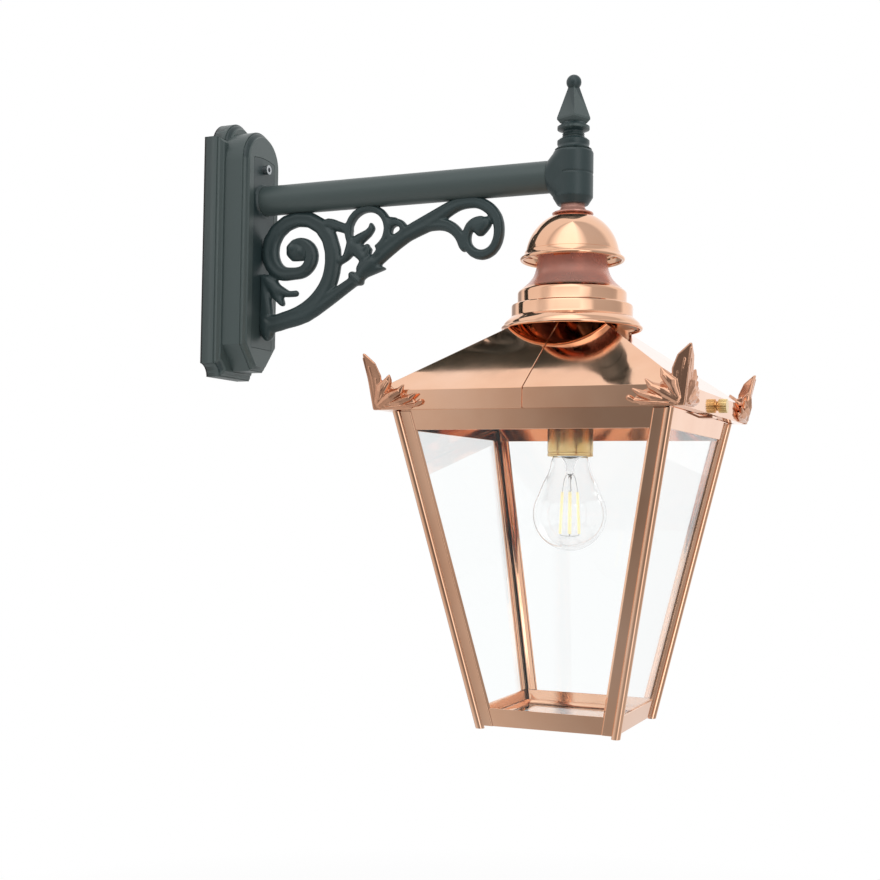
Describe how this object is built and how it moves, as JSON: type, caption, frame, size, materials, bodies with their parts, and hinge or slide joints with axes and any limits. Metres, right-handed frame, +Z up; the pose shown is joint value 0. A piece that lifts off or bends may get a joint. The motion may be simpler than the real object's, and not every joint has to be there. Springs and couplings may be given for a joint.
{
  "type": "outdoor wall light",
  "caption": "Four-sided tapered glazed lantern with a hinged cage, hung from a tube arm with a scrolled casting on a moulded wall plate.",
  "frame": {"origin": "in the wall plane, at the back of the wall plate, midway between the two wall screw holes", "axes": "+Z up, +Y into the wall with the arm reaching out along -Y, X along the wall"},
  "size_m": [0.2564, 0.4642, 0.5341],
  "materials": {
    "painted_casting": "satin slate grey-green paint on cast and tubular metal",
    "copper_sheet": "polished copper sheet, folded and spun",
    "cast_copper": "polished copper-plated casting",
    "brass": "polished brass",
    "steel": "zinc-plated or stainless steel",
    "clear_glass": "clear float glass",
    "bulb_glass": "thin clear blown glass",
    "filament": "pale yellow phosphor-coated filament strips",
    "porcelain": "white glazed porcelain",
    "thermoplastic": "off-white moulded plastic",
    "gasket_rubber": "black rubber",
    "lead_sleeve": "white sleeved lead"
  },
  "bodies": {
    "bracket_and_roof": {"wall_plate": "painted_casting", "wall_gasket": "gasket_rubber", "terminal_block": "thermoplastic", "arm_plate": "painted_casting", "arm_plate_screw": "steel", "arm_tube": "painted_casting", "scroll_bracket": "painted_casting", "arm_hub": "painted_casting", "finial": "painted_casting", "neck_collar": "copper_sheet", "dome_cap": "copper_sheet", "chimney": "copper_sheet", "stem_tube": "steel", "upper_spacer": "steel", "chimney_bridge": "copper_sheet", "lower_spacer": "steel", "crown_plate": "copper_sheet", "crown_nut": "brass", "roof_half_wall": "copper_sheet", "roof_half_front": "copper_sheet", "seam_tabs": "copper_sheet", "corner_leaf_1": "cast_copper", "corner_leaf_2": "cast_copper", "corner_leaf_3": "cast_copper", "corner_leaf_4": "cast_copper", "holder_locknut": "brass", "lampholder_shell": "brass", "lampholder_insert": "porcelain", "bulb_cap": "steel", "bulb_glass": "bulb_glass", "bulb_stem": "bulb_glass", "bulb_filaments": "filament", "internal_lead": "lead_sleeve", "hinge_roof_leaf": "brass", "hinge_pin": "steel", "clamp_spring": "steel", "clamp_nut": "steel"},
    "cage": {"corner_post_1": "copper_sheet", "corner_post_2": "copper_sheet", "corner_post_3": "copper_sheet", "corner_post_4": "copper_sheet", "top_rail_1": "copper_sheet", "top_rail_2": "copper_sheet", "top_rail_3": "copper_sheet", "top_rail_4": "copper_sheet", "foot_rail_1": "copper_sheet", "foot_rail_2": "copper_sheet", "foot_rail_3": "copper_sheet", "foot_rail_4": "copper_sheet", "glass_pane_1": "clear_glass", "glass_pane_2": "clear_glass", "glass_pane_3": "clear_glass", "glass_pane_4": "clear_glass", "base_glass": "clear_glass", "hinge_cage_leaf": "brass", "cage_lug": "copper_sheet"},
    "thumb_screw": {"thumb_screw": "brass"}
  },
  "joints": [
    {"name": "cage_hinge", "type": "hinge", "parent": "bracket_and_roof", "child": "cage", "pos_m": [0, -0.224, -0.15779], "axis": [1, 0, 0], "range_deg": [0, 60]},
    {"name": "thumb_screw_turn", "type": "hinge", "parent": "bracket_and_roof", "child": "thumb_screw", "pos_m": [0, -0.456, -0.14694], "axis": [0, 1, 0], "range_deg": [0, 1080]}
  ]
}
